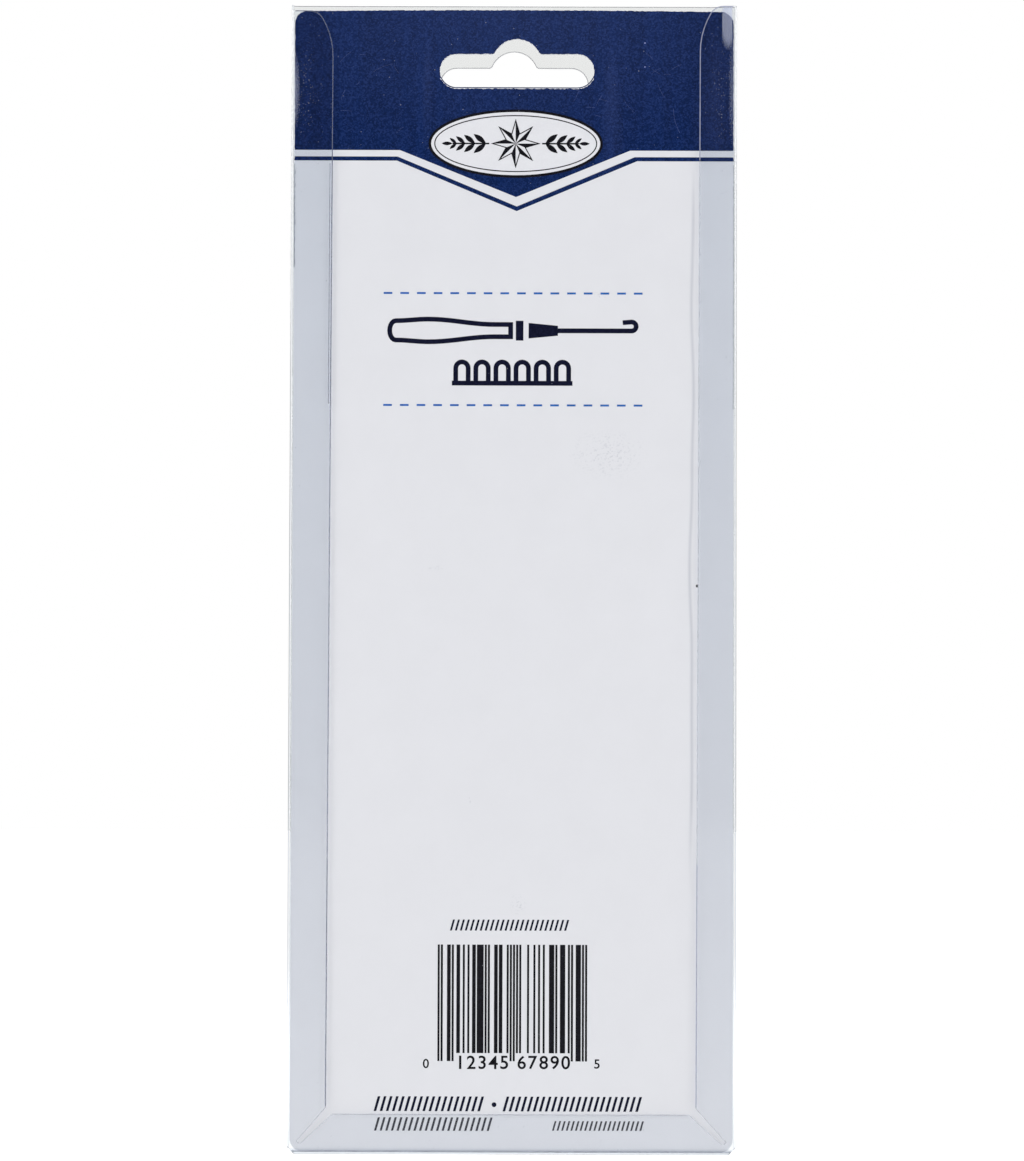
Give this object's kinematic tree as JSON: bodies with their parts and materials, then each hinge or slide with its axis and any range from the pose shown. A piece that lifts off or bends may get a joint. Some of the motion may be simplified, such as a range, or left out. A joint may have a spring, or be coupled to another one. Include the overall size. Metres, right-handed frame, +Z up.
{
  "type": "packed rug hook",
  "caption": "Rug hook with turned wooden handle, brass ferrule and steel hook, held in the bubble of a clear hanging sleeve behind which a printed card slides in.",
  "frame": {"origin": "crown of the sleeve's hang slot, on the pack's centre line, in the rear plane of the folded edges", "axes": "+Z up as the pack hangs from its peg, +Y to the front, where the bubble stands out, +X to the right seen from the back"},
  "size_m": [0.0944, 0.029, 0.2428],
  "materials": {
    "clear_film": "clear, glossy",
    "coated_board": "coated paperboard, satin, navy header",
    "turned_wood": "turned, waxed",
    "ferrule_brass": "drawn, polished",
    "hook_steel": "ground, nickel-plated steel"
  },
  "bodies": {
    "blister": {"blister_shell": "clear_film"},
    "card": {"insert_card": "coated_board"},
    "tool": {"handle": "turned_wood", "ferrule": "ferrule_brass", "hook_shank": "hook_steel"}
  },
  "joints": [
    {"name": "card_slide", "type": "slide", "parent": "blister", "child": "card", "axis": [0, 0, 1], "range_m": [0, 0.24]},
    {"name": "tool_play", "type": "slide", "parent": "blister", "child": "tool", "axis": [0, 0, 1], "range_m": [0, 0.003]}
  ]
}
